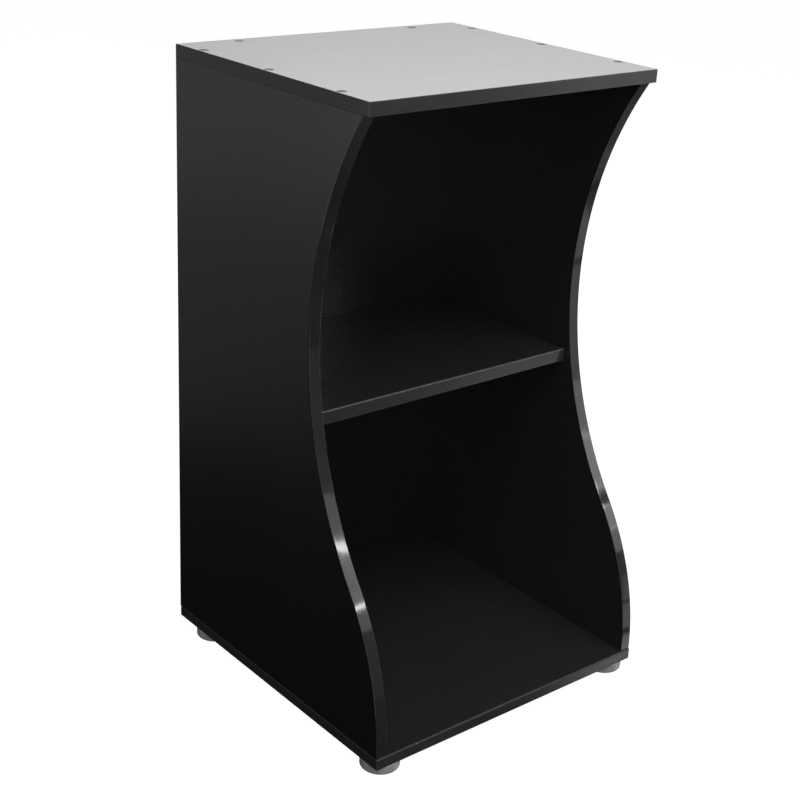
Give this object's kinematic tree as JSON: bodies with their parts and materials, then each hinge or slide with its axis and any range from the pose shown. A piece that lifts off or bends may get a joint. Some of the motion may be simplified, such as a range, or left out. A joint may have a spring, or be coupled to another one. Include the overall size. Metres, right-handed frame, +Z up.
{
  "type": "lectern podium",
  "caption": "Open-fronted podium cabinet with a flat top, a loose middle shelf, sides with an S-curved front edge, a deeper base board and round screw-in levelling feet.",
  "frame": {"origin": "centre of the bounding box at floor level, under the four foot pads", "axes": "+Z up, the open front faces -Y, +X to the right as seen from the front"},
  "size_m": [0.44, 0.443, 0.803],
  "materials": {
    "light_board": "light grey matt melamine on chipboard",
    "black_board": "black satin melamine on chipboard",
    "black_edging": "satin plastic edge band",
    "gloss_edging": "glossy plastic edge band",
    "cap_plastic": "moulded plastic cap",
    "zinc_steel": "zinc plated",
    "beech": "plain fluted beech",
    "foot_plastic": "light grey moulded plastic"
  },
  "bodies": {
    "cabinet": {"top_board": "light_board", "top_front_edging": "black_edging", "top_rear_edging": "black_edging", "top_left_edging": "black_edging", "top_right_edging": "black_edging", "left_side_board": "black_board", "left_front_edging": "gloss_edging", "left_rear_edging": "black_edging", "right_side_board": "black_board", "right_front_edging": "gloss_edging", "right_rear_edging": "black_edging", "back_board": "black_board", "base_board": "black_board", "base_front_edging": "black_edging", "base_rear_edging": "black_edging", "base_left_edging": "black_edging", "base_right_edging": "black_edging", "top_screws": "zinc_steel", "top_screw_caps": "cap_plastic", "base_screws": "zinc_steel", "top_dowels": "beech", "base_dowels": "beech", "back_dowels": "beech", "shelf_pins": "zinc_steel", "foot_insert_nuts": "zinc_steel"},
    "shelf": {"shelf_board": "black_board", "shelf_front_edging": "black_edging"},
    "foot_front_left": {"foot_pad_front_left": "foot_plastic"},
    "foot_front_right": {"foot_pad_front_right": "foot_plastic"},
    "foot_rear_left": {"foot_pad_rear_left": "foot_plastic"},
    "foot_rear_right": {"foot_pad_rear_right": "foot_plastic"},
    "stem_front_left": {"foot_stem_front_left": "zinc_steel"},
    "stem_front_right": {"foot_stem_front_right": "zinc_steel"},
    "stem_rear_left": {"foot_stem_rear_left": "zinc_steel"},
    "stem_rear_right": {"foot_stem_rear_right": "zinc_steel"}
  },
  "joints": [
    {"name": "shelf_slide", "type": "slide", "parent": "cabinet", "child": "shelf", "axis": [0, -1, 0], "range_m": [0, 0.43]},
    {"name": "front_left_foot_travel", "type": "slide", "parent": "cabinet", "child": "foot_front_left", "axis": [0, 0, -1], "range_m": [0, 0.006]},
    {"name": "front_right_foot_travel", "type": "slide", "parent": "cabinet", "child": "foot_front_right", "axis": [0, 0, -1], "range_m": [0, 0.006]},
    {"name": "rear_left_foot_travel", "type": "slide", "parent": "cabinet", "child": "foot_rear_left", "axis": [0, 0, -1], "range_m": [0, 0.006]},
    {"name": "rear_right_foot_travel", "type": "slide", "parent": "cabinet", "child": "foot_rear_right", "axis": [0, 0, -1], "range_m": [0, 0.006]},
    {"name": "front_left_stem_turn", "type": "hinge", "parent": "foot_front_left", "child": "stem_front_left", "pos_m": [-0.195, -0.1965, 0.008], "axis": [0, 0, -1], "range_deg": [0, 1730]},
    {"name": "front_right_stem_turn", "type": "hinge", "parent": "foot_front_right", "child": "stem_front_right", "pos_m": [0.195, -0.1965, 0.008], "axis": [0, 0, -1], "range_deg": [0, 1730]},
    {"name": "rear_left_stem_turn", "type": "hinge", "parent": "foot_rear_left", "child": "stem_rear_left", "pos_m": [-0.195, 0.1715, 0.008], "axis": [0, 0, -1], "range_deg": [0, 1730]},
    {"name": "rear_right_stem_turn", "type": "hinge", "parent": "foot_rear_right", "child": "stem_rear_right", "pos_m": [0.195, 0.1715, 0.008], "axis": [0, 0, -1], "range_deg": [0, 1730]}
  ],
  "couplings": [
    {"joint": "front_left_stem_turn", "follows": "front_left_foot_travel", "rad_per_m": 5026.5},
    {"joint": "front_right_stem_turn", "follows": "front_right_foot_travel", "rad_per_m": 5026.5},
    {"joint": "rear_left_stem_turn", "follows": "rear_left_foot_travel", "rad_per_m": 5026.5},
    {"joint": "rear_right_stem_turn", "follows": "rear_right_foot_travel", "rad_per_m": 5026.5}
  ]
}
